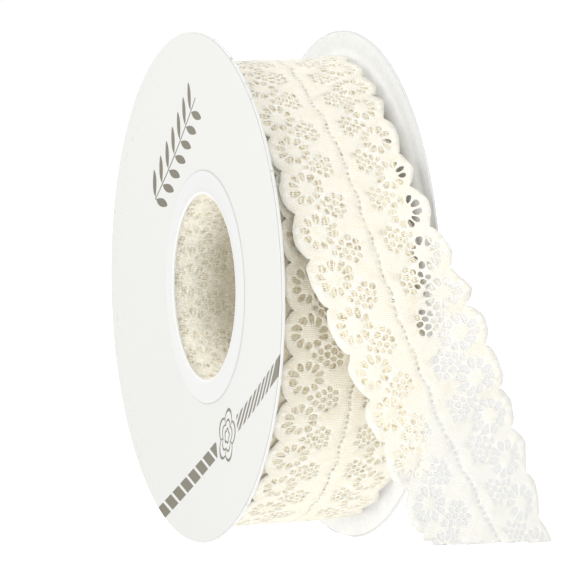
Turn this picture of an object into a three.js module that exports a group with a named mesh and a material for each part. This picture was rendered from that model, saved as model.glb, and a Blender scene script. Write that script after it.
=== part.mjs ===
// A spool of scalloped lace ribbon: two round discs on a clear core, the wound lace between them,
// and the loose end, which leaves the roll at the front and hangs down over the rear disc's rim.
// Millimetres, +Z up. The axle runs along X, the printed disc faces -X, the roll's front faces -Y.
import * as THREE from 'three';
import { mergeVertices } from 'three/addons/utils/BufferGeometryUtils.js';

// Spool: discs, printed ring and core
const FLANGE_RADIUS = 70;
const FLANGE_THICKNESS = 1.5;
const RING_STEPS = 62; // chords round a disc; the two at the bottom lie level and make its flat spot
const DISH = 3.6; // how far the near disc's hub lies in from its rim, which the wound lace has pushed out
const FLANGE_SPACING = 44.2; // printed face to the rear disc's inner face, at the rims
const HOLE_RADIUS = 25.4; // 2 inch spindle hole
const CORE_WALL = 1.5;
const CORE_SEGMENTS = 64;
const LIP_RADIUS = 32; // hub lip that covers the disc's hole
const LIP_THICKNESS = 0.8;
const LABEL_THICKNESS = 0.4;
const LABEL_MARGIN = 1; // bare disc left outside the printed ring
const GAP = 0.3; // between pieces that touch
const MERGE_DISTANCE = 1e-4;

// Lace: 38 mm wide, a scallop every 12.4 mm on both edges
const LACE_HALF_WIDTH = 19;
const SCALLOP_DEPTH = 2;
const SCALLOP_ROUNDNESS = 0.7; // power of the sine: less than 1 gives round lobes and sharp valleys
const SCALLOP_PITCH = 12.4;
const SCALLOP_STEPS = 4;

// Roll: radius at the front, how far its loose turns sag, and how far its rear side is out of true
const ROLL_CENTRE_X = 2;
const ROLL_RADIUS = 62.6;
const ROLL_SAG = 2;
const ROLL_SKEW = 1.1;
const ROLL_SCALLOPS = 33;
const EDGE_TURNS = 1; // height of the outer turns whose scallops show at the sides
const EDGE_SLOPE = 2; // height over which the sides draw in below them
const LIFT_TURN = 66; // degrees from the front up to the line where the loose end starts

// Loose end: a row for each station down its middle line. turn is in degrees from the front, up positive;
// reach is the distance from the axle and across the place along it; right and left are the widths to the
// tips of the scallops on each side; rightLift and leftLift are how far those edges stand out from the flat.
const SHEET_THICKNESS = 1;
const SHEET_COLUMNS = 8;
const TAIL_STEPS = 60;
const HALVINGS = 40; // in the search for the cut's place along the lace
const SPINE_DIVISIONS = 2000; // steps in which the middle line's length is measured
const TAIL_END_Z = -64.4; // level of the cut end, from the axle
const TAIL_SKEW_LENGTH = 45; // stretch over which the stations turn level with the cut
const TAIL_ROWS = [
  { turn: 64.6, across: 3.0, reach: 61.9, right: 17.0, left: 19.8, rightLift: 1.0, leftLift: -0.9 },
  { turn: 54.0, across: 2.6, reach: 62.3, right: 16.7, left: 20.0, rightLift: 1.2, leftLift: -0.7 },
  { turn: 45.0, across: 2.4, reach: 62.7, right: 16.6, left: 20.2, rightLift: 1.6, leftLift: -0.6 },
  { turn: 36.0, across: 2.4, reach: 63.3, right: 16.8, left: 20.4, rightLift: 2.5, leftLift: -0.7 },
  { turn: 29.5, across: 2.6, reach: 64.1, right: 16.8, left: 20.6, rightLift: 4.2, leftLift: -1.0 },
  { turn: 22.5, across: 3.3, reach: 65.3, right: 16.8, left: 20.7, rightLift: 6.9, leftLift: -1.7 },
  { turn: 14.0, across: 4.8, reach: 67.2, right: 17.9, left: 20.6, rightLift: 7.2, leftLift: -2.8 },
  { turn: 4.5, across: 7.1, reach: 69.7, right: 19.6, left: 19.6, rightLift: 5.4, leftLift: -4.0 },
  { turn: -4.0, across: 10.2, reach: 71.8, right: 20.8, left: 18.2, rightLift: 3.4, leftLift: -4.6 },
  { turn: -11.5, across: 14.2, reach: 73.8, right: 21.1, left: 17.2, rightLift: 2.2, leftLift: -4.0 },
  { turn: -16.5, across: 17.1, reach: 75.4, right: 21.0, left: 16.6, rightLift: 1.2, leftLift: -3.2 },
  { turn: -23.8, across: 21.3, reach: 79.0, right: 20.8, left: 16.2, rightLift: 0.4, leftLift: -1.6 },
  { turn: -28.5, across: 25.2, reach: 83.1, right: 20.0, left: 16.8, rightLift: -0.4, leftLift: -0.4 },
  { turn: -33.0, across: 29.3, reach: 87.7, right: 18.8, left: 18.4, rightLift: -1.2, leftLift: 0.6 },
  { turn: -37.0, across: 33.4, reach: 92.7, right: 17.2, left: 20.2, rightLift: -2.0, leftLift: 1.4 },
  { turn: -40.8, across: 37.6, reach: 98.3, right: 15.6, left: 21.2, rightLift: -2.6, leftLift: 2.0 },
  { turn: -44.2, across: 41.8, reach: 104.4, right: 14.2, left: 21.8, rightLift: -3.0, leftLift: 2.4 },
];

const COLOURS = {
  flange_near: { color: 0xf2f3f3, roughness: 0.45 },
  flange_label: { color: 0xeff1ef, roughness: 0.6 },
  flange_rear: { color: 0xe9eae9, roughness: 0.4 },
  core: { color: 0xf4f4f0, roughness: 0.2 },
  lace_roll: { color: 0xefe7ce, roughness: 0.9 },
  lace_tail: { color: 0xfaf5e6, roughness: 0.9 },
};

const LABEL_FACE_X = -FLANGE_SPACING / 2;
const NEAR_FLANGE_X = LABEL_FACE_X + LABEL_THICKNESS + GAP;
const REAR_FLANGE_X = FLANGE_SPACING / 2;
const CORE_RADIUS = HOLE_RADIUS + CORE_WALL;
const ROLL_BORE = CORE_RADIUS + GAP;

const degrees = THREE.MathUtils.degToRad;
const AXLE = new THREE.Vector3(1, 0, 0);
// Turns a profile revolved about Y so that it is revolved about X
const LATHE_AXES = new THREE.Matrix4().makeBasis(
  new THREE.Vector3(0, 0, 1), new THREE.Vector3(1, 0, 0), new THREE.Vector3(0, 1, 0));

// The point at a distance from the axle and a turn from the front
function aroundAxle(x, reach, turn) {
  return new THREE.Vector3(x, -reach * Math.cos(turn), reach * Math.sin(turn));
}

// Merged triangles with positions alone, which share their corners
function solidOf(geometry) {
  geometry.deleteAttribute('normal');
  geometry.deleteAttribute('uv');
  const solid = mergeVertices(geometry, MERGE_DISTANCE);
  solid.computeVertexNormals();
  return solid;
}

// A solid skin over a row of closed sections with the same number of points, which is joined end to end
// as a ring, or closed by a flat strip at each end
function skinOver(sections, isRing) {
  const count = sections[0].length;
  const corners = sections.flat().flatMap((point) => point.toArray());
  const triangles = [];
  const spans = isRing ? sections.length : sections.length - 1;
  for (let i = 0; i < spans; i += 1) {
    const here = i * count;
    const next = ((i + 1) % sections.length) * count;
    for (let j = 0; j < count; j += 1) {
      const k = (j + 1) % count;
      triangles.push(here + j, here + k, next + k, here + j, next + k, next + j);
    }
  }
  if (!isRing) {
    const last = (sections.length - 1) * count;
    for (let j = 0; j < count / 2 - 1; j += 1) {
      const [a, b, c, d] = [j, j + 1, count - 2 - j, count - 1 - j];
      triangles.push(a, c, b, a, d, c, last + a, last + b, last + c, last + a, last + c, last + d);
    }
  }
  const skin = new THREE.BufferGeometry();
  skin.setAttribute('position', new THREE.Float32BufferAttribute(corners, 3));
  skin.setIndex(triangles);
  return solidOf(skin);
}

// How far a dished disc lies in from its rim at a distance from the axle: level on the hub, then a shallow cone
function dishAt(reach, dish) {
  return dish * THREE.MathUtils.clamp((FLANGE_RADIUS - reach) / (FLANGE_RADIUS - LIP_RADIUS), 0, 1);
}

// A ring from x along the axle, dished towards +X. Its bore clears a round of the given radius, and a rim that
// stands on the floor is level across its two bottom chords.
function ringDisc(x, clearRadius, outerRadius, thickness, dish, stands) {
  const step = (2 * Math.PI) / RING_STEPS;
  const bore = clearRadius / Math.cos(step / 2);
  const sections = [];
  for (let i = 0; i < RING_STEPS; i += 1) {
    const turn = -Math.PI / 2 + i * step;
    const rim = stands && i === 0 ? outerRadius * Math.cos(step) : outerRadius;
    const reaches = [bore, LIP_RADIUS, rim].filter((reach) => reach >= bore);
    const face = (depth) => reaches.map((reach) => aroundAxle(x + depth + dishAt(reach, dish), reach, turn));
    sections.push([...face(0), ...face(thickness).reverse()]);
  }
  return skinOver(sections, true);
}

// Half the lace's width at a count of scallops along it: round lobes with sharp valleys
function laceHalfWidth(scallops) {
  const lobe = Math.abs(Math.sin(Math.PI * scallops)) ** SCALLOP_ROUNDNESS;
  return LACE_HALF_WIDTH - SCALLOP_DEPTH * (1 - lobe);
}

// The clear tube with a flat lip over each disc's hole
function makeCore() {
  const nearEnd = NEAR_FLANGE_X + DISH - GAP - LIP_THICKNESS;
  const rearEnd = REAR_FLANGE_X + FLANGE_THICKNESS + GAP + LIP_THICKNESS;
  const profile = [
    [HOLE_RADIUS, nearEnd], [LIP_RADIUS, nearEnd], [LIP_RADIUS, nearEnd + LIP_THICKNESS],
    [CORE_RADIUS, nearEnd + LIP_THICKNESS], [CORE_RADIUS, rearEnd - LIP_THICKNESS],
    [LIP_RADIUS, rearEnd - LIP_THICKNESS], [LIP_RADIUS, rearEnd],
    [HOLE_RADIUS, rearEnd], [HOLE_RADIUS, nearEnd],
  ].map(([radius, x]) => new THREE.Vector2(radius, x));
  return solidOf(new THREE.LatheGeometry(profile, CORE_SEGMENTS).applyMatrix4(LATHE_AXES));
}

// The wound lace: a ring whose surface climbs one layer in a turn, back to the line where the end lifts
function makeRoll() {
  const steps = ROLL_SCALLOPS * SCALLOP_STEPS;
  const layer = SHEET_THICKNESS + GAP;
  const innerHalf = LACE_HALF_WIDTH - SCALLOP_DEPTH;
  const sections = [];
  for (let i = 0; i < steps; i += 1) {
    const turn = degrees(LIFT_TURN) - (2 * Math.PI * i) / steps;
    const half = laceHalfWidth((ROLL_SCALLOPS * i) / steps);
    const outer = (u) => ROLL_RADIUS - Math.sin(turn) * (ROLL_SAG - (ROLL_SKEW * u) / LACE_HALF_WIDTH)
      + (layer * i) / (steps - 1);
    const loop = [
      [innerHalf, ROLL_BORE], [innerHalf, outer(half) - EDGE_TURNS - EDGE_SLOPE],
      [half, outer(half) - EDGE_TURNS], [half, outer(half)], [half / 2, outer(half / 2)], [0, outer(0)],
      [-half / 2, outer(-half / 2)], [-half, outer(-half)], [-half, outer(-half) - EDGE_TURNS],
      [-innerHalf, outer(-half) - EDGE_TURNS - EDGE_SLOPE], [-innerHalf, ROLL_BORE],
    ];
    sections.push(loop.map(([u, reach]) => aroundAxle(ROLL_CENTRE_X + u, reach, turn)));
  }
  return skinOver(sections, true);
}

// The loose end: at each station the middle line's point, plus the way across, plus the lift of the edge
function makeTail() {
  const curveOf = (place) => new THREE.CatmullRomCurve3(TAIL_ROWS.map(place));
  const spine = curveOf((row) => aroundAxle(row.across, row.reach, degrees(row.turn)));
  const widths = curveOf((row) => new THREE.Vector3(row.right, row.left, 0));
  const lifts = curveOf((row) => new THREE.Vector3(row.rightLift, row.leftLift, 0));
  spine.arcLengthDivisions = SPINE_DIVISIONS;
  const length = spine.getLength();
  const stationAt = (along) => {
    const t = spine.getUtoTmapping(THREE.MathUtils.clamp(along / length, 0, 1));
    const down = spine.getTangent(t);
    const across = AXLE.clone().addScaledVector(down, -AXLE.dot(down)).normalize();
    const out = new THREE.Vector3().crossVectors(down, across);
    const [point, width, lift] = [spine, widths, lifts].map((curve) => curve.getPoint(t));
    return { point, down, across, out, width, lift };
  };
  const cutAlong = alongAtLevel(spine, length, TAIL_END_Z);
  const cut = stationAt(cutAlong);
  const slant = -cut.across.z / cut.down.z; // how much further the lace runs for each mm across, at the cut
  // The sheet's point for a station, a share of its width from -1 to 1, and an offset from its middle layer
  const surface = (along, share, offset) => {
    const side = share > 0 ? 'x' : 'y'; // right or left
    const skewed = THREE.MathUtils.smoothstep(along, cutAlong - TAIL_SKEW_LENGTH, cutAlong);
    const flatAlong = along + slant * skewed * share * stationAt(along).width[side];
    const station = stationAt(flatAlong);
    const tip = station.width[side];
    const edge = tip - LACE_HALF_WIDTH + laceHalfWidth((flatAlong - cutAlong) / SCALLOP_PITCH);
    const u = share * edge;
    const edgeLift = station.lift[side];
    const drawnIn = 1 - (2 / 3) * ((edgeLift * u) / tip / tip) ** 2; // the curve keeps its width
    return station.point.addScaledVector(station.across, u * drawnIn)
      .addScaledVector(station.out, edgeLift * (u / tip) ** 2 + offset);
  };
  const shares = Array.from({ length: SHEET_COLUMNS + 1 }, (_, j) => (2 * j) / SHEET_COLUMNS - 1);
  const sections = [];
  for (let i = 0; i <= TAIL_STEPS; i += 1) {
    const along = (cutAlong * i) / TAIL_STEPS;
    const front = shares.map((share) => surface(along, share, SHEET_THICKNESS / 2));
    const back = shares.map((share) => surface(along, share, -SHEET_THICKNESS / 2));
    sections.push([...back, ...front.reverse()]);
  }
  return skinOver(sections, false);
}

// The distance along a falling curve at which it reaches a level, by halving
function alongAtLevel(curve, length, level) {
  let [above, below] = [0, length];
  for (let i = 0; i < HALVINGS; i += 1) {
    const middle = (above + below) / 2;
    const isAbove = curve.getPointAt(middle / length).z > level;
    [above, below] = isAbove ? [middle, below] : [above, middle];
  }
  return below;
}

const boreClear = CORE_RADIUS + GAP;
const labelRadius = FLANGE_RADIUS - LABEL_MARGIN;
const pieces = {
  flange_near: ringDisc(NEAR_FLANGE_X, boreClear, FLANGE_RADIUS, FLANGE_THICKNESS, DISH, true),
  flange_label: ringDisc(LABEL_FACE_X, LIP_RADIUS + GAP, labelRadius, LABEL_THICKNESS, DISH, false),
  flange_rear: ringDisc(REAR_FLANGE_X, boreClear, FLANGE_RADIUS, FLANGE_THICKNESS, 0, true),
  core: makeCore(),
  lace_roll: makeRoll(),
  lace_tail: makeTail(),
};

const spool = new THREE.Group();
for (const [name, geometry] of Object.entries(pieces)) {
  const mesh = new THREE.Mesh(geometry, new THREE.MeshStandardMaterial({ metalness: 0, ...COLOURS[name] }));
  mesh.name = name;
  spool.add(mesh);
}

// The origin is under the middle of the whole, on the surface that the discs stand on
const box = new THREE.Box3().setFromObject(spool);
const middle = box.getCenter(new THREE.Vector3());
spool.position.set(-middle.x, -middle.y, -box.min.z);

const group = new THREE.Group();
group.add(spool);

export default group;
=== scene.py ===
"""A spool of scalloped lace ribbon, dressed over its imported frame. Metres, +Z up, the axle along X."""

from types import SimpleNamespace

import bpy
import numpy as np
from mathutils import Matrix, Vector, geometry


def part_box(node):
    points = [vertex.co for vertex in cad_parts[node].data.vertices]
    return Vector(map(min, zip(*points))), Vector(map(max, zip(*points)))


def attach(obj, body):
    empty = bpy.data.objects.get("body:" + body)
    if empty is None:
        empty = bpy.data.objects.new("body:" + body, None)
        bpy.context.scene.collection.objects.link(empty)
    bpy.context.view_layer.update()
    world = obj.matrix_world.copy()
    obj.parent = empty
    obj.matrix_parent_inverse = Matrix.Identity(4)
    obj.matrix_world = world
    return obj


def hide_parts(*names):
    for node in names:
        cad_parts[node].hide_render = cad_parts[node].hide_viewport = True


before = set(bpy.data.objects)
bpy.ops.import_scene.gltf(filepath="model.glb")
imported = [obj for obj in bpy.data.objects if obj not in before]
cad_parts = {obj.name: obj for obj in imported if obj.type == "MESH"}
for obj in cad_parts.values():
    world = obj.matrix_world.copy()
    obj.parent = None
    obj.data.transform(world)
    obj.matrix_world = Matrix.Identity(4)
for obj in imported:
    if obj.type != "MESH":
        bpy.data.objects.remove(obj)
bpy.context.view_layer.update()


# Near disc: a thin ring moulded in white plastic and pushed over the end of the core. The wound lace has
# pushed its rim outwards, so it is dished round the hub. The rim is a little nicked, and flat where the
# spool stands.
MM = 0.001
DISC_RADIUS = 70.0
DISC_BORE = 27.2
DISC_ROUNDING = 0.25
DISC_STEPS = 360
DISC_THICKNESS = 0.8
NEAR_DISC_X = -21.9
REAR_DISC_X = 22.1
DISH = 3.6
HUB_RADIUS = 32.0
SECTION_STEP = 5.0
NICKS = 46
NICK_DEPTH = 0.3
NICK_SHARES = (0.2, 1)
NICK_WIDTHS = (0.006, 0.014)
DISC_WHITE = (0.745, 0.75, 0.74)
DISC_SCUFFED = (0.5, 0.52, 0.52)
near_low, near_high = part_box("flange_near")
AXLE = np.array([
    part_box("flange_rear")[0][0] - REAR_DISC_X * MM,
    (near_low[1] + near_high[1]) / 2,
    near_high[2] - DISC_RADIUS * MM,
])


def around_axle(x, reach, turn):
    """Points of the frame for millimetres along the axle and from it, and a turn from the front, upwards
    positive: the turn's cosine goes to the front and its sine up."""
    x, reach, turn = np.broadcast_arrays(x, reach, turn)
    return AXLE + MM * np.stack([x, -reach * np.cos(turn), reach * np.sin(turn)], axis=-1)


def rounded_section(x_low, x_high, r_low, r_high, rounding, corner_points=5):
    """The outline of a flat ring's section as points (along the axle, from the axle): a quarter circle at
    each corner, with one more point before and after it, so that the flat faces stay flat in the light."""
    quarter = np.linspace(0, np.pi / 2, corner_points)
    angle = np.arange(4)[:, None] * np.pi / 2 + quarter
    centre_x = np.array([x_high, x_low, x_low, x_high]) + rounding * np.array([-1, 1, 1, -1])
    centre_r = np.array([r_high, r_high, r_low, r_low]) + rounding * np.array([-1, -1, 1, 1])
    arc = np.stack([np.cos(angle), np.sin(angle)], axis=-1) * rounding
    arc = arc + np.stack([centre_x, centre_r], axis=-1)[:, None]
    step = rounding / 2
    way_in = np.stack([-np.sin(angle[:, 0]), np.cos(angle[:, 0])], axis=-1) * step
    way_out = np.stack([-np.sin(angle[:, -1]), np.cos(angle[:, -1])], axis=-1) * step
    outline = np.concatenate([arc[:, :1] - way_in[:, None], arc, arc[:, -1:] + way_out[:, None]], axis=1)
    return outline.reshape(-1, 2)


def running_length(points):
    """The length of the line through the points, up to each of them."""
    return np.concatenate([[0], np.cumsum(np.linalg.norm(np.diff(points, axis=0), axis=1))])


def divided(outline):
    """The same closed outline with more points, so that no stretch of it is longer than the step."""
    closed = np.concatenate([outline, outline[:1]])
    length = running_length(closed)
    at = np.unique(np.concatenate([length[:-1], np.arange(0, length[-1], SECTION_STEP)]))
    return np.stack([np.interp(at, length, closed[:, 0]), np.interp(at, length, closed[:, 1])], axis=-1)


def disc_outline(x):
    """The divided section of a flat disc whose near face is there along the axle."""
    return divided(rounded_section(x, x + DISC_THICKNESS, DISC_BORE, DISC_RADIUS, DISC_ROUNDING))


def dish_depth(reach):
    """How far the dished disc lies in from its rim: level up to the hub's radius, then a cone out to it."""
    return DISH * np.clip((DISC_RADIUS - reach) / (DISC_RADIUS - HUB_RADIUS), 0, 1)


def dished(outline):
    """The outline pushed in along the axle by the dish."""
    depth = dish_depth(outline[:, 1])
    return outline + np.stack([depth, 0 * depth], axis=-1)


def grid_faces(rows, columns):
    """The four corners of each face between neighbours in a grid of points that is joined end to end both
    ways."""
    row = np.arange(rows)[:, None]
    column = np.arange(columns)
    next_row = (row + 1) % rows * columns
    next_column = (column + 1) % columns
    row = row * columns
    corners = (row + column, next_row + column, next_row + next_column, row + next_column)
    return np.stack(corners, axis=-1).reshape(-1, 4)


def new_piece(name, points, faces, finish):
    """An object of those points and of faces that all have as many corners, riding on the spool."""
    mesh = bpy.data.meshes.new(name)
    mesh.vertices.add(len(points))
    mesh.vertices.foreach_set("co", points.astype(np.float32).ravel())
    mesh.loops.add(faces.size)
    mesh.loops.foreach_set("vertex_index", faces.astype(np.int32).ravel())
    mesh.polygons.add(len(faces))
    mesh.polygons.foreach_set("loop_start", np.arange(0, faces.size, faces.shape[1], dtype=np.int32))
    mesh.update(calc_edges=True)
    mesh.validate()
    mesh.shade_smooth()
    mesh.materials.append(finish)
    piece = bpy.data.objects.new(name, mesh)
    bpy.context.scene.collection.objects.link(piece)
    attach(piece, "root")
    return piece


def turned_ring(name, outline, reach_change, steps, finish):
    """A ring piece: the outline's points carried round the axle, moved in or out by reach_change(reach, turn)
    and never below the floor, which makes the flat spot."""
    turn = np.linspace(0, 2 * np.pi, steps, endpoint=False)[:, None]
    reach = outline[:, 1] + reach_change(outline[:, 1], turn)
    points = around_axle(outline[:, 0], reach, turn)
    points[..., 2] = np.maximum(points[..., 2], 0)
    return new_piece(name, points.reshape(-1, 3), grid_faces(steps, len(outline)), finish)


def nicked_rim(seed):
    """A change of reach that is nothing but on the rim, where seeded narrow bell curves cut small nicks."""
    random = np.random.default_rng(seed)
    place = random.uniform(0, 2 * np.pi, NICKS)
    depth = random.uniform(*NICK_SHARES, NICKS) * NICK_DEPTH
    width = random.uniform(*NICK_WIDTHS, NICKS)

    def change(reach, turn):
        apart = np.angle(np.exp(1j * (turn[..., None] - place)))
        cut = np.sum(depth * np.exp(-((apart / width) ** 2)), axis=-1)
        return -cut * (reach > DISC_RADIUS - 2 * DISC_ROUNDING)

    return change


class Value:
    """One output of a material's nodes. Arithmetic on values adds Math nodes, node() adds any other node."""

    def __init__(self, tree, output):
        self.tree = tree
        self.output = output

    def node(self, kind, settings, sockets, output=0):
        """A node of that kind: its settings come first, then its sockets, each linked to a value or set."""
        made = self.tree.nodes.new(kind)
        for name, setting in settings.items():
            setattr(made, name, setting)
        for name, given in sockets.items():
            if isinstance(given, Value):
                self.tree.links.new(given.output, made.inputs[name])
            else:
                made.inputs[name].default_value = given
        return Value(self.tree, made.outputs[output])

    def math(self, operation, first, second=0.0):
        return self.node("ShaderNodeMath", {"operation": operation}, {0: first, 1: second})

    def __add__(self, other):
        return self.math("ADD", self, other)

    def __sub__(self, other):
        return self.math("SUBTRACT", self, other)

    def __rsub__(self, other):
        return self.math("SUBTRACT", other, self)

    def __mul__(self, other):
        return self.math("MULTIPLY", self, other)

    def __truediv__(self, other):
        return self.math("DIVIDE", self, other)

    def __pow__(self, power):
        return self.math("POWER", self, power)

    def __mod__(self, period):
        return self.math("FLOORED_MODULO", self, period)

    def __lt__(self, limit):
        return self.math("LESS_THAN", self, limit)

    def __gt__(self, limit):
        return self.math("GREATER_THAN", self, limit)

    def __abs__(self):
        return self.math("ABSOLUTE", self)

    __radd__ = __add__
    __rmul__ = __mul__

    def larger(self, other):
        return self.math("MAXIMUM", self, other)

    def smaller(self, other):
        return self.math("MINIMUM", self, other)

    def span(self, low, high):
        """0 below low, 1 above high, and a smooth rise between them."""
        sockets = {"Value": self, "From Min": low, "From Max": high}
        return self.node("ShaderNodeMapRange", {"interpolation_type": "SMOOTHSTEP"}, sockets)

    def blend(self, *colours):
        """The first colour where this value is 0 and the second where it is 1."""
        first, second = (each if isinstance(each, Value) else (*each, 1) for each in colours)
        return self.node("ShaderNodeMix", {"data_type": "RGBA"}, {0: self, 6: first, 7: second}, output=2)

    def feed(self, shader, socket):
        self.tree.links.new(self.output, shader.inputs[socket])


def new_finish(name, colour, roughness):
    """A material with one Principled shader that has those constants. Returns the material, the shader and
    the Object coordinates."""
    finish = bpy.data.materials.new(name)
    finish.use_nodes = True
    shader = finish.node_tree.nodes["Principled BSDF"]
    shader.inputs["Base Color"].default_value = (*colour, 1)
    shader.inputs["Roughness"].default_value = roughness
    place = Value(finish.node_tree, None).node("ShaderNodeTexCoord", {}, {}, output="Object")
    return finish, shader, place


def noise(place, size, detail=2.0):
    """Seedless noise from 0 to 1 with features of that size in metres."""
    return place.node("ShaderNodeTexNoise", {}, {"Vector": place, "Scale": 1 / size, "Detail": detail})


def patches(place, size, low, high, detail=2.0):
    """That noise as soft patches: 0 where it is below low and 1 where it is above high."""
    return noise(place, size, detail).span(low, high)


def bump(height, depth):
    """The normal of a surface raised by that height, of 0 to 1, times the depth in metres."""
    return height.node("ShaderNodeBump", {}, {"Height": height, "Distance": depth, "Strength": 1.0})


disc_plastic, disc_shader, disc_place = new_finish("white_disc_plastic", DISC_WHITE, roughness=0.42)
disc_scuffs = patches(disc_place, size=0.0022, low=0.6, high=0.72, detail=3.0)
disc_scuffs.blend(DISC_WHITE, DISC_SCUFFED).feed(disc_shader, "Base Color")
bump(noise(disc_place, size=0.0012), depth=0.00003).feed(disc_shader, "Normal")

near_outline = dished(disc_outline(NEAR_DISC_X))
near_disc = turned_ring("near_disc", near_outline, nicked_rim(seed=3), DISC_STEPS, disc_plastic)
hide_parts("flange_near")


# Printed ring: coated white card, die-cut and glued on the near disc inside its rim, and worn at its back
# edge. A plain band of slanted bars with a rosette, and a leaf sprig, are printed on it in olive grey.
CARD_X = -22.1
CARD_THICKNESS = 0.18
CARD_BORE = 32.06
CARD_RADIUS = 69.5
CARD_ROUNDING = 0.05
CARD_WHITE = (0.64, 0.64, 0.622)
CARD_TONE = (0.63, 0.63, 0.608)
CARD_ROUGHNESS = 0.5
FLECK_COLOUR = (0.6, 0.6, 0.57)
FLECK_SHARE = 0.25
WORN_COLOUR = (0.5, 0.505, 0.49)
WORN_SHARE = 0.5
WORN_OUT = (58.0, 69.0)
WORN_BEHIND = (0.0, 60.0)
PRINT_OLIVE = (0.125, 0.11, 0.068)
PRINT_GLOSS = 0.12
BAND_TILT = np.radians(28.5)
BAND_FROM_AXLE = -44.4
BAND_WIDTH = 4.8
BAND_BEND = 0.045
WIDE_BARS = (6.0, 1.0, 4.7)
THIN_BARS = (4.5, -1.8, 2.6)
END_BLOCK = 47.5
GAP_HALF = 9.0
ROSETTE_RADIUS = 7.6
ROSETTE_TILT = 0.3
ROSETTE_PETALS = 5
ROSETTE_SWELL = 0.26
ROSETTE_RINGS = ((0.94, 0.06), (0.58, 0.045), (0.26, 0.05))
PETAL_LINE_REACH = (0.76, 0.18)
PETAL_LINE_WIDTH = 0.13
SPRIG_TILT = np.radians(39.4)
SPRIG_PLACE = (-20.0, 37.0)
SPRIG_LENGTH = 46.2
STEM_HALF = 0.22
LEAF_PITCH = 6.6
LEAF_LENGTH = 6.2
LEAF_HALF = 1.7
LEAF_LEAN = 0.8
LEAF_START = 0.1
LEAF_FORWARD = 0.4
LEAF_MIDDLE = 1.1


def split(vector):
    """The three parts of a vector, each as a value."""
    first = vector.node("ShaderNodeSeparateXYZ", {}, {0: vector})
    return [Value(first.tree, output) for output in first.output.node.outputs]


def spool_place(place):
    """Millimetres along the axle, behind it, above it, and out from it by the root of those two's squares."""
    x, y, z = split(place)
    along = (x - AXLE[0]) * (1 / MM)
    behind = (y - AXLE[1]) * (1 / MM)
    above = (z - AXLE[2]) * (1 / MM)
    return SimpleNamespace(along=along, behind=behind, above=above, out=(behind ** 2 + above ** 2) ** 0.5)


def print_axes(place, tilt, right, up):
    """Millimetres along and across a line on the card as the eye sees it, tilted and through a point to the
    right of and above the axle: the card's own place is turned by the tilt."""
    spool = spool_place(place)
    from_right = spool.behind * -1 - right
    from_up = spool.above - up
    line = from_right * np.cos(tilt) + from_up * np.sin(tilt)
    across = from_up * np.cos(tilt) - from_right * np.sin(tilt)
    return line, across


def printed_bars(place):
    """1 on the bars: a band of even stripes, each set with its pitch, slant and width, wide on one side of
    its middle and thin on the other, where the band bends a little and ends in a block."""
    line, across = print_axes(place, BAND_TILT, 0.0, 0.0)
    across = across - BAND_FROM_AXLE + line.larger(0.0) * BAND_BEND
    pitch, slant, width = WIDE_BARS
    wide = ((line + across * slant) % pitch < width) * (line < -GAP_HALF)
    pitch, slant, width = THIN_BARS
    slanted = line + across * slant
    thin = (slanted % pitch < width) * (line > GAP_HALF)
    bars = wide + thin + (slanted > END_BLOCK)
    return bars.smaller(1.0) * (abs(across) < BAND_WIDTH / 2)


def printed_rosette(place):
    """1 on the lines of a plain rosette at the band's middle: rings whose radius swells with the cosine of
    half the angle times the number of petals, and the lines between the petals."""
    right, up = -BAND_FROM_AXLE * np.sin(BAND_TILT), BAND_FROM_AXLE * np.cos(BAND_TILT)
    line, across = print_axes(place, ROSETTE_TILT, right, up)
    reach = (line * line + across * across) ** 0.5
    angle = line.math("ARCTAN2", across, line)
    petal = abs(angle.math("COSINE", angle * (ROSETTE_PETALS / 2)))
    share = reach / (ROSETTE_RADIUS * (1 - ROSETTE_SWELL + petal * ROSETTE_SWELL))
    lines = (petal < PETAL_LINE_WIDTH) * (abs(share - PETAL_LINE_REACH[0]) < PETAL_LINE_REACH[1])
    for ring, half in ROSETTE_RINGS:
        lines = lines + (abs(share - ring) < half)
    return lines.smaller(1.0)


def printed_sprig(place):
    """1 on a sprig: a thin stem, and on both sides leaves at an even pitch that lean forward, each the lens
    between two parabolas."""
    line, across = print_axes(place, SPRIG_TILT, *SPRIG_PLACE)
    inside = abs(line) < SPRIG_LENGTH / 2
    side = abs(across)
    stem = (side < STEM_HALF) * inside
    step = (line + SPRIG_LENGTH / 2) % LEAF_PITCH - side * LEAF_LEAN
    outward = side * (2 / LEAF_LENGTH) - LEAF_MIDDLE
    lens = abs(step - LEAF_FORWARD) < LEAF_HALF * (1 - outward * outward)
    leaves = lens * (side > LEAF_START) * (side < LEAF_LENGTH) * inside
    return stem.larger(leaves)


def even_rim(reach, turn):
    """No change of reach."""
    return 0 * turn


card, card_shader, card_place = new_finish("printed_card", CARD_WHITE, CARD_ROUGHNESS)
ink = printed_bars(card_place).larger(printed_rosette(card_place)).larger(printed_sprig(card_place))
flecks = patches(card_place, size=0.0009, low=0.74, high=0.8)
card_at = spool_place(card_place)
worn_edge = card_at.out.span(*WORN_OUT) * card_at.behind.span(*WORN_BEHIND)
card_scuffs = patches(card_place, size=0.0014, low=0.6, high=0.66, detail=4.0) * worn_edge
paper_tone = noise(card_place, size=0.03).blend(CARD_WHITE, CARD_TONE)
paper_tone = (flecks * FLECK_SHARE).blend(paper_tone, FLECK_COLOUR)
paper_tone = (card_scuffs * WORN_SHARE).blend(paper_tone, WORN_COLOUR)
ink.blend(paper_tone, PRINT_OLIVE).feed(card_shader, "Base Color")
(CARD_ROUGHNESS - ink * PRINT_GLOSS).feed(card_shader, "Roughness")
bump(noise(card_place, size=0.0008), depth=0.00002).feed(card_shader, "Normal")

card_section = rounded_section(CARD_X, CARD_X + CARD_THICKNESS, CARD_BORE, CARD_RADIUS, CARD_ROUNDING)
printed_ring = turned_ring("printed_ring", dished(divided(card_section)), even_rim, DISC_STEPS, card)
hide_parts("flange_label")


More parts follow.
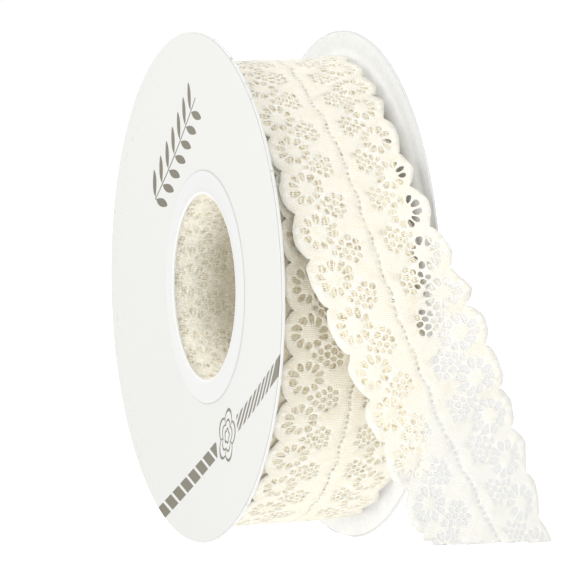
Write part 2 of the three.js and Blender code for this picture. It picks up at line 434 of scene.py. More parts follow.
# Rear disc: the same moulding in milky plastic, which lets some light through and looks a little cloudy.
# It is flat, and pushed over the other end of the core. Its inner face carries painted light: an emission
# that is stronger low down and strongest next to the lace, where it lifts the shade; the rim and outer face
# have none.
MILKY_PALE = (0.8, 0.805, 0.795)
MILKY_CLOUD = (0.74, 0.745, 0.735)
MILKY_RIM = (0.74, 0.745, 0.74)
MILKY_ALPHA = 0.85
NO_PAINTED_LIGHT = (0, 0, 0)
PAINTED_LIGHT_TOP = (0.09, 0.09, 0.088)
PAINTED_LIGHT_LOW = (0.2, 0.2, 0.197)
PAINTED_LIGHT_BY_LACE = (0.34, 0.34, 0.33)
PAINTED_LIGHT_HEIGHT = 60.0
PAINTED_LIGHT_START = (54.0, 61.0)
PAINTED_LIGHT_LACE_END = (62.5, 66.0)
RIM_LINE = (DISC_RADIUS - 0.7, DISC_RADIUS - 0.35)
OUTER_FACE = (REAR_DISC_X + 0.2, REAR_DISC_X + 0.6)
milky_plastic, milky_shader, milky_place = new_finish("milky_disc_plastic", MILKY_PALE, roughness=0.45)
milky_shader.inputs["Alpha"].default_value = MILKY_ALPHA
milky_shader.inputs["Emission Strength"].default_value = 1.0
clouds = patches(milky_place, size=0.0012, low=0.4, high=0.66, detail=3.0)
milky_at = spool_place(milky_place)
at_rim = milky_at.out.span(*RIM_LINE)
at_rim.blend(clouds.blend(MILKY_PALE, MILKY_CLOUD), MILKY_RIM).feed(milky_shader, "Base Color")
# Painted light: the disc's emission, stronger low down and strongest next to the lace's edge.
painted_light_by_height = milky_at.above.span(-PAINTED_LIGHT_HEIGHT, PAINTED_LIGHT_HEIGHT).blend(PAINTED_LIGHT_LOW, PAINTED_LIGHT_TOP)
painted_light_near_lace = milky_at.out.span(*PAINTED_LIGHT_LACE_END).blend(PAINTED_LIGHT_BY_LACE, painted_light_by_height)
painted_light_mask = milky_at.out.span(*PAINTED_LIGHT_START) * (1 - milky_at.along.span(*OUTER_FACE)) - at_rim
painted_light_mask.blend(NO_PAINTED_LIGHT, painted_light_near_lace).feed(milky_shader, "Emission Color")
bump(noise(milky_place, size=0.001), depth=0.00002).feed(milky_shader, "Normal")

rear_outline = disc_outline(REAR_DISC_X)
rear_disc = turned_ring("rear_disc", rear_outline, nicked_rim(seed=8), DISC_STEPS, milky_plastic)
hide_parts("flange_rear")


# Core: a tube of clear plastic between the discs, so the innermost turn of lace shows through it.
# Each end has a flat milky hub lip, which is pressed over its disc and edged with a thin raised bead.
HOLE_RADIUS = 25.4
TUBE_RADIUS = 26.6
TUBE_ROUNDING = 0.1
CORE_STEPS = 192
CLEAR = (0.93, 0.94, 0.93)
CLEAR_SHADED = (0.38, 0.33, 0.22)
LIT_END = (5.0, 21.0)
LIT_LEVEL = (8.0, 22.0)
MOTTLE_LOSS = 0.7
CLEAR_ALPHA = 0.2
MOTTLE_ALPHA = 0.16
LIT_END_ALPHA = -0.13
LIT_LEVEL_ALPHA = -0.03
CLEAR_PAINTED_LIGHT = (1.0, 0.96, 0.82)
CLEAR_PAINTED_LIGHT_STRENGTH = 0.85
END_PAINTED_LIGHT = (0.13, 0.58)
LEVEL_PAINTED_LIGHT = (0.56, 0.95)
LIP_THICKNESS = 0.8
LIP_MILKY = (0.625, 0.63, 0.62)
BEAD_PAINTED_LIGHT = (0.2, 0.2, 0.195)
BEAD_END = (HOLE_RADIUS + 0.1, HOLE_RADIUS + 0.7)
LIP_BACK_EDGE = 0.1
LIP_EDGE = np.array([(0.35, 0.0), (0.15, -0.3), (0.15, -0.5)])
LIP_BEAD = np.array([(0.15, 1.6), (0.1, 1.3), (0.0, 1.0), (0.0, 0.5), (0.08, 0.15), (0.3, 0.0)])
core_low, core_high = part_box("core")
core_start, core_end = (core_low[0] - AXLE[0]) / MM, (core_high[0] - AXLE[0]) / MM
near_lip_end = core_start + LIP_THICKNESS
rear_lip_start = REAR_DISC_X + DISC_THICKNESS / 2

clear_plastic, clear_shader, clear_place = new_finish("clear_plastic", CLEAR, roughness=0.12)
clear_shader.inputs["Emission Strength"].default_value = CLEAR_PAINTED_LIGHT_STRENGTH
clear_at = spool_place(clear_place)
# Painted shade and light: the tube is darker and more opaque towards the middle of the bore, and its emission
# is stronger near both ends and at its top and bottom.
lit_end = abs(clear_at.along - (core_start + core_end) / 2).span(*LIT_END)
lit_level = abs(clear_at.above).span(*LIT_LEVEL)
mottle = patches(clear_place, size=0.0011, low=0.42, high=0.62, detail=4.0) * (1 - lit_level * MOTTLE_LOSS)
clear_alpha = CLEAR_ALPHA + mottle * MOTTLE_ALPHA + lit_end * LIT_END_ALPHA + lit_level * LIT_LEVEL_ALPHA
clear_alpha.feed(clear_shader, "Alpha")
lit_end.blend(CLEAR_SHADED, CLEAR).feed(clear_shader, "Base Color")
tube_painted_light = (lit_end * END_PAINTED_LIGHT[1] + END_PAINTED_LIGHT[0]) * (lit_level * LEVEL_PAINTED_LIGHT[1] + LEVEL_PAINTED_LIGHT[0])
tube_painted_light.blend(NO_PAINTED_LIGHT, CLEAR_PAINTED_LIGHT).feed(clear_shader, "Emission Color")
bump(noise(clear_place, size=0.012), depth=0.0003).feed(clear_shader, "Normal")
tube_section = rounded_section(near_lip_end, rear_lip_start, HOLE_RADIUS, TUBE_RADIUS, TUBE_ROUNDING)
clear_tube = turned_ring("clear_tube", tube_section, even_rim, CORE_STEPS, clear_plastic)

lip_plastic, lip_shader, lip_place = new_finish("milky_lip_plastic", LIP_MILKY, roughness=0.3)
# Painted light: an emission on the wall of the lip's hole, which fades out across the bead.
lip_shader.inputs["Emission Strength"].default_value = 1.0
past_bead = spool_place(lip_place).out.span(*BEAD_END)
past_bead.blend(BEAD_PAINTED_LIGHT, NO_PAINTED_LIGHT).feed(lip_shader, "Emission Color")
bump(noise(lip_place, size=0.003, detail=3.0), depth=0.00008).feed(lip_shader, "Normal")


def hub_lip(name, outer_x, inner_x):
    """A flat lip turned from its outline: a rounded outer edge, a level ring and a raised bead at the hole.
    Its points are (depth behind the outer face, distance from the hub's or the hole's radius)."""
    side = np.sign(inner_x - outer_x)
    depth, reach = np.concatenate([LIP_EDGE + (0, HUB_RADIUS), LIP_BEAD + (0, HOLE_RADIUS)]).T
    face = np.stack([outer_x + depth * side, reach], axis=-1)
    back = np.array([[inner_x, HUB_RADIUS - LIP_BACK_EDGE], [inner_x, HOLE_RADIUS]])
    outline = np.concatenate([back[:1], face, back[1:]])
    outline = outline if side > 0 else outline[::-1]
    return turned_ring(name, outline, even_rim, CORE_STEPS, lip_plastic)


near_lip = hub_lip("near_hub_lip", core_start, near_lip_end)
rear_lip = hub_lip("rear_hub_lip", core_end, rear_lip_start)
for piece in (clear_tube, near_lip, rear_lip):
    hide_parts("core")


# Wound lace: all the turns below the outer two, wound on the core with some slack, so that they sag.
# Their scalloped edges don't line up from turn to turn, which leaves the sides ragged.
ROLL_CENTRE_X = 2.0
ROLL_RADIUS = 62.6
ROLL_SAG = 2.0
ROLL_SKEW = 1.1
ROLL_BORE = 27.7
LAYER = 1.3
LIFT_TURN = np.radians(66)
HALF_WIDTH = 19.0
BODY_DROP = 1.2
BODY_NEAR_GAP = 0.6
BODY_REAR_X = 15.4
BODY_STEPS = 360
BODY_SIDE_POINTS = 40
BODY_TOP_POINTS = 15
BODY_RAGGED = 0.5
BODY_SEED = 21
# Painted shade: the wound body's tan and its two mottled tones, darker than the lace's cream, stand in for
# the deeper turns in shade.
WOUND_CREAM = (0.7, 0.62, 0.44)
WOUND_SHADE = (0.8, 0.71, 0.53)
WOUND_LIGHT = (0.96, 0.92, 0.79)


def roll_reach(turn, across):
    """The roll's outer surface: its radius, less the sag at the top and more at the bottom by the turn's
    sine, a little different from side to side, plus one layer for each turn back from where the end lifts."""
    sag = ROLL_SAG - ROLL_SKEW * across / HALF_WIDTH
    return ROLL_RADIUS - np.sin(turn) * sag + LAYER * (LIFT_TURN - turn) / (2 * np.pi)


wound_lace, wound_shader, wound_place = new_finish("wound_lace", WOUND_CREAM, roughness=0.9)
wound_grain_and_shade = noise(wound_place, size=0.0011, detail=4.0)
wound_grain_and_shade.span(low=0.35, high=0.7).blend(WOUND_SHADE, WOUND_LIGHT).feed(wound_shader, "Base Color")
bump(wound_grain_and_shade, depth=0.0006).feed(wound_shader, "Normal")

body_random = np.random.default_rng(BODY_SEED)
body_turn = np.linspace(LIFT_TURN, LIFT_TURN - 2 * np.pi, BODY_STEPS, endpoint=False)[:, None]
side_share = np.linspace(0, 1, BODY_SIDE_POINTS)
height = np.concatenate([side_share, np.ones(BODY_TOP_POINTS), side_share[::-1]])
rearward = np.concatenate([
    np.ones(BODY_SIDE_POINTS), np.linspace(1, 0, BODY_TOP_POINTS), np.zeros(BODY_SIDE_POINTS)])
body_reach = ROLL_BORE + height * (roll_reach(body_turn, 0) - BODY_DROP - ROLL_BORE)
near_side = NEAR_DISC_X + DISC_THICKNESS + dish_depth(body_reach) + BODY_NEAR_GAP
ragged = body_random.uniform(-BODY_RAGGED, BODY_RAGGED, body_reach.shape) * (height < 1)
body_x = near_side + rearward * (BODY_REAR_X - near_side) + ragged
body_skew = ROLL_SKEW * (body_x - ROLL_CENTRE_X) / HALF_WIDTH
body_points = around_axle(body_x, body_reach + np.sin(body_turn) * body_skew * height, body_turn)
wound_body = new_piece(
    "wound_lace_body", body_points.reshape(-1, 3),
    grid_faces(BODY_STEPS, body_points.shape[1])[:, ::-1], wound_lace)
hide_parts("lace_roll")


# Lace: 38 mm cream cotton lace, knitted by machine in one repeat for each scallop: a ladder down the middle,
# a plain band on both sides of it, patches of net, and in each scallop a flower of ten petals inside a
# corded edge.
PITCH = 12.4
SCALLOP_DEPTH = 2.5
SCALLOP_ROUNDNESS = 0.7
LACE_THICKNESS = 0.5
KNITTED_SHARE = 0.55
HOLE_CORNERS = 8
FLOWER_FROM_SPINE = 12.2
PETALS = 10
PETAL_RING = 3.45
PETAL_HALF = (1.42, 0.95)
PETAL_TAPER = 0.3
PETAL_SIZES = (0.86, 1.0)
NET_HALF = (0.86, 0.84)
NET_SIZES = (0.84, 1.0)
NET_ROWS = ((4.2, (-2, 0, 2)), (5.8, (-3, -1, 1, 3)), (7.4, (-2, 0, 2)), (9.0, (-1, 1)), (10.6, (0,)))
LADDER_RUNGS = 7
SLOT_HALF = (0.7, 0.46)
SLOT_SIZES = (0.6, 1.0)
HOLE_SEED = 4
EDGE_STEPS = 22
SEAM_POINTS = 27
POINT_SPACING = 1.5
POINT_SHIFT = 0.25
POINT_SEED = 5
POINTS_ALONG = (0.9, PITCH - 0.6)
POINTS_ACROSS = (-16.6, 16.7)
CLEAR_OF_OUTLINE = 0.6
CLEAR_OF_HOLES = 0.2
MERGE_WITHIN = 1e-6


def scallop_edge(along):
    """Half the lace's width: a power of a cosine makes round lobes at each whole pitch and sharp valleys
    between them."""
    lobe = np.abs(np.cos(np.pi * along / PITCH)) ** SCALLOP_ROUNDNESS
    return HALF_WIDTH - SCALLOP_DEPTH * (1 - lobe)


def hole_loops(centre, half, varied, heading, taper):
    """Closed loops of points round holes: ovals by cosine and sine of half the length and width, each varied,
    wider towards their far ends by the taper, and turned to the heading."""
    angle = (np.arange(HOLE_CORNERS) + 0.5) * 2 * np.pi / HOLE_CORNERS
    forward = (half[0] * varied[0])[:, None] * np.cos(angle)
    sideways = (half[1] * varied[1])[:, None] * np.sin(angle) * (1 + taper * np.cos(angle))
    cosine, sine = np.cos(heading)[:, None], np.sin(heading)[:, None]
    along = centre[:, :1] + forward * cosine - sideways * sine
    out = centre[:, 1:] + forward * sine + sideways * cosine
    return np.stack([along, out], axis=-1)


def repeat_holes():
    """Every hole of one repeat, which runs from the middle of a scallop to the middle of the next."""
    random = np.random.default_rng(HOLE_SEED)
    net = np.concatenate([
        np.stack([PITCH / 2 + np.array(places), np.full(len(places), out)], axis=-1)
        for out, places in NET_ROWS])
    varied = random.uniform(*NET_SIZES, (2, len(net)))
    net_loops = hole_loops(net, NET_HALF, varied, np.zeros(len(net)), 0.0)
    heading = np.pi / 2 - (np.arange(PETALS) + 0.5) * 2 * np.pi / PETALS
    spoke = np.stack([np.cos(heading), np.sin(heading)], axis=-1)
    petal = spoke * PETAL_RING + np.array([0, FLOWER_FROM_SPINE])
    varied = random.uniform(*PETAL_SIZES, (2, PETALS))
    petal_loops = hole_loops(petal, PETAL_HALF, varied, heading, PETAL_TAPER)
    petal_loops[spoke[:, 0] < 0] += np.array([PITCH, 0])
    upper = np.concatenate([net_loops, petal_loops])
    lower = upper[:, ::-1] * np.array([1, -1])
    rung = (np.arange(LADDER_RUNGS) + 0.5) * PITCH / LADDER_RUNGS
    slots = np.stack([rung, np.zeros(LADDER_RUNGS)], axis=-1)
    varied = random.uniform(*SLOT_SIZES, (2, LADDER_RUNGS))
    slot_loops = hole_loops(slots, SLOT_HALF, varied, np.zeros(LADDER_RUNGS), 0.0)
    return np.concatenate([upper, lower, slot_loops])


def inner_points(loops, outline):
    """Points of a seeded uneven grid between the holes, but not those close to a hole or the outline."""
    random = np.random.default_rng(POINT_SEED)
    grid = np.stack(np.meshgrid(
        np.arange(*POINTS_ALONG, POINT_SPACING), np.arange(*POINTS_ACROSS, POINT_SPACING), indexing="ij"),
        axis=-1).reshape(-1, 2)
    grid = grid + random.uniform(-POINT_SHIFT, POINT_SHIFT, grid.shape)
    from_outline = np.linalg.norm(grid[:, None] - outline, axis=-1).min(axis=1)
    middle = loops.mean(axis=1)
    size = np.linalg.norm(loops - middle[:, None], axis=-1).max(axis=1)
    from_holes = (np.linalg.norm(grid[:, None] - middle, axis=-1) - size).min(axis=1)
    return grid[(from_outline > CLEAR_OF_OUTLINE) & (from_holes > CLEAR_OF_HOLES)]


def lace_repeat():
    """One repeat as triangles: the seam points, the other points and the far seam's points in that order, in
    millimetres along and across. The edges, the seams and the loops of the holes bound the triangles. Those
    whose three corners are on one loop fill a hole and are kept apart."""
    loops = repeat_holes()
    seam_out = np.linspace(-HALF_WIDTH, HALF_WIDTH, SEAM_POINTS)
    seam = np.stack([np.zeros_like(seam_out), seam_out], axis=-1)
    far_seam = seam + np.array([PITCH, 0])
    edge_along = np.linspace(0, PITCH, EDGE_STEPS + 1)[1:-1]
    upper_edge = np.stack([edge_along, scallop_edge(edge_along)], axis=-1)
    lower_edge = upper_edge * np.array([1, -1])
    outline = np.concatenate([loops.reshape(-1, 2), upper_edge, lower_edge])
    inner = inner_points(loops, np.concatenate([outline, seam, far_seam]))
    points = np.concatenate([seam, outline, inner, far_seam])
    loop_count, edge_count = loops.shape[0] * HOLE_CORNERS, len(edge_along)
    first_upper = SEAM_POINTS + loop_count
    first_lower = first_upper + edge_count
    last_seam = len(points) - SEAM_POINTS
    corner = SEAM_POINTS + np.arange(loop_count).reshape(-1, HOLE_CORNERS)
    loop_links = np.stack([corner, np.roll(corner, -1, axis=1)], axis=-1).reshape(-1, 2)
    rim = np.concatenate([
        np.arange(SEAM_POINTS), first_upper + np.arange(edge_count),
        (last_seam + np.arange(SEAM_POINTS))[::-1], (first_lower + np.arange(edge_count))[::-1]])
    rim_links = np.stack([rim, np.roll(rim, -1)], axis=-1)
    links = np.concatenate([loop_links, rim_links])
    made = geometry.delaunay_2d_cdt(
        list(map(Vector, points.tolist())), links.tolist(), [], 1, MERGE_WITHIN, True)
    triangles = np.array(made[2])
    loop_of = np.full(len(points), -1)
    loop_of[corner] = np.arange(len(loops))[:, None]
    kinds = loop_of[triangles]
    in_hole = (kinds[:, 0] >= 0) & (kinds == kinds[:, :1]).all(axis=1)
    centre = points[triangles].mean(axis=1)
    outside = np.abs(centre[:, 1]) > scallop_edge(centre[:, 0])
    filling = triangles[in_hole]
    at_edge = np.zeros(len(points), dtype=bool)
    at_edge[rim] = True
    at_edge[:SEAM_POINTS] = np.abs(seam_out) == HALF_WIDTH
    at_edge[last_seam:] = at_edge[:SEAM_POINTS]
    return SimpleNamespace(
        points=points, triangles=triangles[~in_hole & ~outside], filling=filling,
        hole=loop_of[filling[:, 0]], body=np.where(at_edge, 1.0, KNITTED_SHARE),
        cord=at_edge | (loop_of >= 0))


repeat = lace_repeat()


def lace_strip(repeats, open_share, seed):
    """Repeats side by side that share the points of the seams between them: every point's place along and
    across, its share of the full thickness and of the cord, the triangles of the lace and those in its holes.
    A seeded share of the holes has none."""
    own = len(repeat.points) - SEAM_POINTS
    first = np.arange(repeats)[:, None]
    along = np.append((repeat.points[:own, 0] + first * PITCH).ravel(), np.full(SEAM_POINTS, repeats * PITCH))
    across, body, cord = (
        np.append(np.tile(each[:own], repeats), each[:SEAM_POINTS])
        for each in (repeat.points[:, 1], repeat.body, repeat.cord))
    triangles = (repeat.triangles + first[..., None] * own).reshape(-1, 3)
    filling = (repeat.filling + first[..., None] * own).reshape(-1, 3)
    is_filled = np.random.default_rng(seed).random((repeats, repeat.hole.max() + 1)) > open_share
    filling = filling[is_filled[:, repeat.hole].ravel()]
    return SimpleNamespace(
        along=along, across=across, body=body, cord=cord, triangles=triangles, filling=filling)


WANDER_REACHES = (0.24, 0.17, 0.1)
WANDER_RATES = np.array([0.14, 0.12, 6, 6])
WANDER_SHARES = (0.25, 1)


def uneven(along, across, seed):
    """The same places, moved a little by three seeded waves each way, as loose knitting is."""
    random = np.random.default_rng(seed)
    for reach in WANDER_REACHES:
        wave_along, wave_across, phase, other = random.uniform(*WANDER_SHARES, 4) / reach * WANDER_RATES
        shift = np.sin(wave_along * along + wave_across * across + phase)
        other_shift = np.sin(wave_across * along - wave_along * across + other)
        along, across = along + reach * shift, across + reach * other_shift
    return along, across


CREAM_THREAD = (0.965, 0.945, 0.865)
CREAM_SHADE = (0.87, 0.8, 0.63)
# Painted light: the paler, cooler copies of the thread, used where the end hangs free of the roll.
FREE_THREAD = (0.93, 0.926, 0.88)
FREE_SHADE = (0.85, 0.83, 0.75)
# Painted shade: the browner copies of the thread, used by the painted_shade attribute.
PAINTED_SHADE_THREAD = (0.82, 0.745, 0.565)
PAINTED_SHADE_DARK = (0.6, 0.505, 0.33)
THREAD_ROUGHNESS = 0.85
LAID_PITCH = 0.00048
LAID_SHARE = 0.75
STITCH_PITCH = 0.0007
STITCH_SHARE = 0.25
THREAD_LEVELS = (0.0, 0.75)
WANDER_WIDTH = 0.0004
THIN_SHARE = 0.55
GROOVE_HALF = (0.0003, 0.0009)
GROOVE_SHARE = 0.6
CORD_LEVELS = (0.35, 0.9)
CORD_SHARE = 0.8
FREE_THREAD_OUT = (67.0, 85.0)
PAST_ROLL = (14.5, 19.5)
BELOW_ROLL = (40.0, 50.0)


def ripple(place, pitch):
    """A wave from 0 to 1 with that pitch in metres."""
    phase = place * (2 * np.pi / pitch)
    return phase.math("SINE", phase) * 0.5 + 0.5


def hanging_free(place, out_span):
    """1 where the roll no longer lies behind the loose end: far out from the axle, and past the roll's rear
    side or near its lowest line."""
    spool = spool_place(place)
    below = (spool.above * -1).span(*BELOW_ROLL)
    return spool.out.span(*out_span) * spool.along.span(*PAST_ROLL).larger(below)


def painted(place, name):
    """The value of the mesh's own attribute of that name."""
    return place.node("ShaderNodeAttribute", {"attribute_name": name}, {}, output="Fac")


def flat_place(place):
    """The lace's own map in metres: along it and across it."""
    return split(place.node("ShaderNodeUVMap", {"uv_map": "weave"}, {}))[:2]


def knitted_finish():
    """Cotton thread on the lace's own map: fine laid threads across, fainter stitches along, painted shade
    along the groove down the middle and soft patches where the knitting is thin. The cords round the holes
    and edges are plain and bright. Painted light and shade: the thread is paler and cooler where the end
    hangs free, and browner by the painted_shade attribute."""
    finish, shader, place = new_finish("cream_lace_thread", CREAM_THREAD, THREAD_ROUGHNESS)
    along, across = flat_place(place)
    wander = noise(place, size=0.0016) * WANDER_WIDTH
    laid, stitches = ripple(along + wander, LAID_PITCH), ripple(across + wander, STITCH_PITCH)
    threads = laid * LAID_SHARE + stitches * STITCH_SHARE
    thin = patches(place, size=0.003, low=0.48, high=0.75, detail=3.0) * THIN_SHARE
    # Painted shade along the groove down the middle.
    groove = 1 - abs(across).span(*GROOVE_HALF)
    # Painted light: the thread is paler and cooler where the end hangs free.
    free = hanging_free(place, FREE_THREAD_OUT)
    # Painted shade: the thread turns browner by the painted_shade attribute.
    painted_shade = painted(place, "painted_shade")
    thread = painted_shade.blend(free.blend(CREAM_THREAD, FREE_THREAD), PAINTED_SHADE_THREAD)
    shade = painted_shade.blend(free.blend(CREAM_SHADE, FREE_SHADE), PAINTED_SHADE_DARK)
    ground = threads.span(*THREAD_LEVELS).blend(shade, thread)
    ground = thin.larger(groove * GROOVE_SHARE).blend(ground, shade)
    cord = painted(place, "cord").span(*CORD_LEVELS) * CORD_SHARE
    cord.blend(ground, thread).feed(shader, "Base Color")
    bump(threads, depth=0.00012).feed(shader, "Normal")
    return finish


# Painted shade: the net's tan, its darker spots and its deeper brown stand in for the shaded layers seen
# through the holes, and its grey for the shade where the end hangs free.
NET_TAN = (0.93, 0.865, 0.69)
NET_SPOT_SHADOW = (0.6, 0.51, 0.33)
NET_SHADOWED = (0.5, 0.415, 0.25)
NET_GREY = (0.745, 0.742, 0.738)
NET_SHADOW_GAIN = 1.25
FREE_NET_OUT = (67.0, 75.0)
NET_PITCH = 0.0005
NET_SHARE = 0.62
NET_SHARE_FREE = 0.26
NET_SLANT = 0.06
CROSSING_PITCH = 0.0009
CROSSING_SHARE = 0.32
CROSSING_SLANT = 0.1


def net_finish():
    """The finest threads in the holes, on the same map: lines across and wider set lines along, clear between
    them. Their colour is painted shade: tan with darker spots near the axle, darker still by the
    painted_shade attribute, and grey where the end hangs free."""
    finish, shader, place = new_finish("fine_net_thread", NET_TAN, THREAD_ROUGHNESS)
    shadow_spots = patches(place, size=0.0012, low=0.52, high=0.68)
    net_shadow = painted(place, "painted_shade") * NET_SHADOW_GAIN
    free = hanging_free(place, FREE_NET_OUT)
    tan = net_shadow.blend(shadow_spots.blend(NET_TAN, NET_SPOT_SHADOW), NET_SHADOWED)
    free.blend(tan, NET_GREY).feed(shader, "Base Color")
    along, across = flat_place(place)
    thick = NET_PITCH * (NET_SHARE + free * NET_SHARE_FREE)
    lines = (along + across * NET_SLANT) % NET_PITCH < thick
    crossing = (across + along * CROSSING_SLANT) % CROSSING_PITCH < CROSSING_PITCH * CROSSING_SHARE
    lines.larger(crossing).feed(shader, "Alpha")
    return finish


lace_thread = knitted_finish()
hole_net = net_finish()


def paint(piece, name, values):
    """Gives each point of the piece its value, as the attribute of that name."""
    attribute = piece.data.attributes.new(name, "FLOAT", "POINT")
    attribute.data.foreach_set("value", values.astype(np.float32))


def mapped_piece(name, points, flat, triangles, painted_shade, finish):
    """A piece of those triangles, with the flat places of its points in metres as the map called weave, and
    how much painted shade they carry, as an attribute. Returns it with the numbers of the points that it
    uses."""
    used, renumbered = np.unique(triangles, return_inverse=True)
    piece = new_piece(name, points[used], renumbered.reshape(-1, 3), finish)
    corner = np.empty(len(piece.data.loops), dtype=np.int32)
    piece.data.loops.foreach_get("vertex_index", corner)
    weave = piece.data.uv_layers.new(name="weave")
    weave.data.foreach_set("uv", flat[used][corner].astype(np.float32).ravel())
    paint(piece, "painted_shade", np.broadcast_to(painted_shade, len(points))[used])
    return piece, used


def flat_area(flat, triangles):
    """Each triangle's area: half of what the two sides from its first corner span."""
    first, second, third = (flat[triangles[:, corner]] for corner in range(3))
    one, other = second - first, third - first
    return np.abs(one[:, 0] * other[:, 1] - one[:, 1] * other[:, 0]) / 2


def lace_sheet(name, strip, points, painted_shade, node):
    """A length of lace on those points: a sheet that is as thick as the cord at its edges, and the net in its
    holes, both browner by the painted shade given for their points. Its flat size and area are the strip's."""
    flat = np.stack([strip.along, strip.across], axis=-1) * MM
    sheet, used = mapped_piece(name, points, flat, strip.triangles, painted_shade, lace_thread)
    paint(sheet, "cord", strip.cord[used])
    group = sheet.vertex_groups.new(name="thickness")
    for share in np.unique(strip.body):
        group.add(np.flatnonzero(strip.body[used] == share).tolist(), float(share), "REPLACE")
    solid = sheet.modifiers.new("thickness", "SOLIDIFY")
    solid.thickness = LACE_THICKNESS * MM
    solid.offset = 0
    solid.vertex_group = "thickness"
    net = mapped_piece(name + "_net", points, flat, strip.filling, painted_shade, hole_net)[0]
    for piece in (sheet, net):
        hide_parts(node)


# Innermost turn: the start of the same lace, laid once round the core and taped down. It shows through the
# clear tube, stretched so that it reaches both of its ends.
BORE_REPEATS = 14
BORE_REACH = 26.93
BORE_CENTRE_X = 1.5
BORE_STRETCH = 1.18
BORE_END_GAP = 0.5
bore_strip = lace_strip(BORE_REPEATS, open_share=0.0, seed=31)
loose_along, loose_across = uneven(bore_strip.along, bore_strip.across * BORE_STRETCH, seed=11)
bore_turn = loose_along / (BORE_REPEATS * PITCH) * 2 * np.pi
bore_x = np.clip(BORE_CENTRE_X + loose_across, core_start + BORE_END_GAP, core_end - BORE_END_GAP)
bore_points = around_axle(bore_x, BORE_REACH, bore_turn)
lace_sheet("innermost_turn", bore_strip, bore_points, 0.0, "lace_roll")


# Second turn: the turn of the same lace under the outer one, which shows through the outer one's holes.
# It was wound a little nearer to the printed disc, and its rear edge is drawn in.
SECOND_REPEATS = 33
SECOND_DROP = 0.75
SECOND_CENTRE_X = -1.3
SECOND_RIGHT_SHARE = 0.84
# Painted shade on the whole second turn, as it lies below the outer turn.
SECOND_SHADE = 0.6
second_strip = lace_strip(SECOND_REPEATS, open_share=0.2, seed=32)
loose_along, loose_across = uneven(second_strip.along, second_strip.across, seed=12)
second_turn = LIFT_TURN + 2 * np.pi - (loose_along / (SECOND_REPEATS * PITCH) * 2 * np.pi)
second_reach = roll_reach(second_turn, loose_across) - SECOND_DROP
second_x = SECOND_CENTRE_X + np.where(loose_across > 0, SECOND_RIGHT_SHARE, 1) * loose_across
second_points = around_axle(second_x, second_reach, second_turn)
lace_sheet("second_turn", second_strip, second_points, SECOND_SHADE, "lace_roll")


# Outer turn and loose end: one length of the lace that goes once round the roll, leaves it at the front,
# passes over the rear disc's rim and hangs down to a straight cut with one rounded corner.
TURN_ROWS = 72
LAST_ROW_TURN = LIFT_TURN + np.radians(8)
END_TURN = np.radians(60)
END_SHIFT = 2.4
END_RIGHT = 1.4
END_LEFT = 1.7
LEFT_SLACK = 2.0
START_FROM = np.radians(362)
START_TURN = np.radians(26)
START_RIGHT = 3.4
# A row for each station of the loose end: turn in degrees, place along the axle, reach, width to the right
# and to the left, and how far the right and left edges stand out.
TAIL_ROWS = np.array([
    (64.6, -0.4, 61.9, 20.4, 19.3, 1.0, -0.9), (54.0, -0.4, 62.3, 19.7, 19.3, 1.2, -0.7),
    (45.0, 0.8, 62.7, 18.2, 19.9, 1.6, -0.6), (36.0, 1.9, 63.3, 17.3, 20.2, 2.5, -0.7),
    (29.5, 2.5, 64.1, 16.9, 20.5, 4.2, -1.0), (22.5, 3.3, 65.3, 16.8, 20.7, 6.9, -1.7),
    (14.0, 4.8, 67.2, 17.9, 20.6, 7.2, -2.8), (4.5, 7.1, 69.7, 19.8, 19.6, 5.4, -4.0),
    (-4.0, 10.2, 71.8, 21.2, 18.3, 3.4, -4.6), (-11.5, 14.2, 73.8, 21.7, 17.7, 2.2, -4.0),
    (-16.5, 17.1, 75.4, 21.6, 18.0, 1.2, -3.2), (-23.8, 21.3, 79.0, 21.2, 18.4, 0.4, -1.6),
    (-28.5, 25.2, 83.1, 20.2, 18.9, -0.4, -0.4), (-33.0, 29.3, 87.7, 18.8, 19.9, -1.2, 0.6),
    (-37.0, 33.4, 92.7, 17.2, 21.5, -2.0, 1.4), (-40.8, 37.6, 98.3, 15.6, 23.0, -2.6, 2.0),
    (-44.2, 41.8, 104.4, 14.2, 24.2, -3.0, 2.4), (-47.2, 46.0, 111.0, 13.2, 25.0, -3.2, 2.6)])
MIDDLE_POINTS = 12000
SLOPE_STEP = 1e-4
CUT_BELOW_AXLE = 64.9
CUT_SEARCH = 100
CUT_TIP = np.array([0.022, 0.059, 1.0])
CUT_GRID = (80, 49)
CUT_GRID_BACK = 16
CUT_GRID_HALF = 24
ROUNDED_FROM = 15.0
ROUNDING_RATE = 0.25
CUT_SPARE = 1.0
SPARE_REPEATS = 2
FLOWER_PLACE = 1.5 * PITCH - 0.5
SLIVER = 0.03
GAP_SEEN = (14.6, 19.6)
GAP_ABOVE_AXLE = (-12.0, 43.0)
# Painted shadow of the loose end on the turn beneath it: a bell over the turn's angle, at the front where the
# end stands off.
TAIL_SHADOW = 0.46
TAIL_SHADOW_TURN = 358.0
TAIL_SHADOW_WIDTH = 27.0


def ribbon_rows():
    """Rows for the whole turn on the roll, from its formula, then those of the loose end: towards its end the
    turn is drawn over to the near side, and at its start its right edge is drawn in."""
    turn = np.linspace(LIFT_TURN + 2 * np.pi, LAST_ROW_TURN, TURN_ROWS)
    edge = ROLL_SKEW * np.sin(turn)
    reach = roll_reach(turn, 0) + LAYER
    near_end = np.clip(1 - (turn - LIFT_TURN) / END_TURN, 0, 1) ** 2
    near_start = np.clip((turn - START_FROM) / START_TURN, 0, 1)
    middle = ROLL_CENTRE_X - END_SHIFT * near_end
    right = HALF_WIDTH + END_RIGHT * near_end - START_RIGHT * near_start
    left = HALF_WIDTH + LEFT_SLACK - END_LEFT * near_end
    rows = np.stack([np.degrees(turn), middle, reach, right, left, edge, -edge], axis=-1)
    return np.concatenate([rows, TAIL_ROWS])


